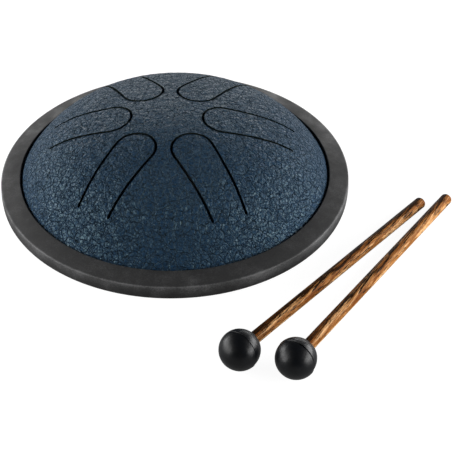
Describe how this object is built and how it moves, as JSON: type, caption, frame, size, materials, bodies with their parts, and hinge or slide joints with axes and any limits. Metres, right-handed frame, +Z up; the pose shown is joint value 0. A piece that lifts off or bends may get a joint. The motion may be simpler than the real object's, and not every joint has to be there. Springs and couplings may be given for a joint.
{
  "type": "steel tongue drum",
  "caption": "Low domed steel drum with U-cut tongues, a pan with a sound hole below, a rubber rim ring to rest on, and a pair of ball-headed wooden mallets beside it.",
  "frame": {"origin": "centre of the drum on the plane that its rubber ring rests on", "axes": "+Z up through the crown of the dome, +X to the right and +Y away from a player who has the mallets' heads at the near right"},
  "size_m": [0.2316, 0.2361, 0.0424],
  "materials": {
    "navy_coat": "satin wrinkle powder coat",
    "pan_coat": "satin wrinkle powder coat",
    "seam_steel": "as welded",
    "ring_rubber": "matt moulded",
    "stick_wood_1": "oiled, open grain",
    "head_rubber_1": "smooth moulded",
    "stick_wood_2": "oiled, open grain",
    "head_rubber_2": "smooth moulded"
  },
  "bodies": {
    "drum": {"top_shell": "navy_coat", "bottom_shell": "pan_coat", "seam_bead": "seam_steel", "rim_ring": "ring_rubber"},
    "mallet_1": {"mallet_1_stick": "stick_wood_1", "mallet_1_head": "head_rubber_1"},
    "mallet_2": {"mallet_2_stick": "stick_wood_2", "mallet_2_head": "head_rubber_2"}
  },
  "joints": [
    {"name": "mallet_1_lift", "type": "slide", "parent": "drum", "child": "mallet_1", "axis": [0, 0, 1], "range_m": [0, 0.15]},
    {"name": "mallet_2_lift", "type": "slide", "parent": "drum", "child": "mallet_2", "axis": [0, 0, 1], "range_m": [0, 0.15]}
  ]
}
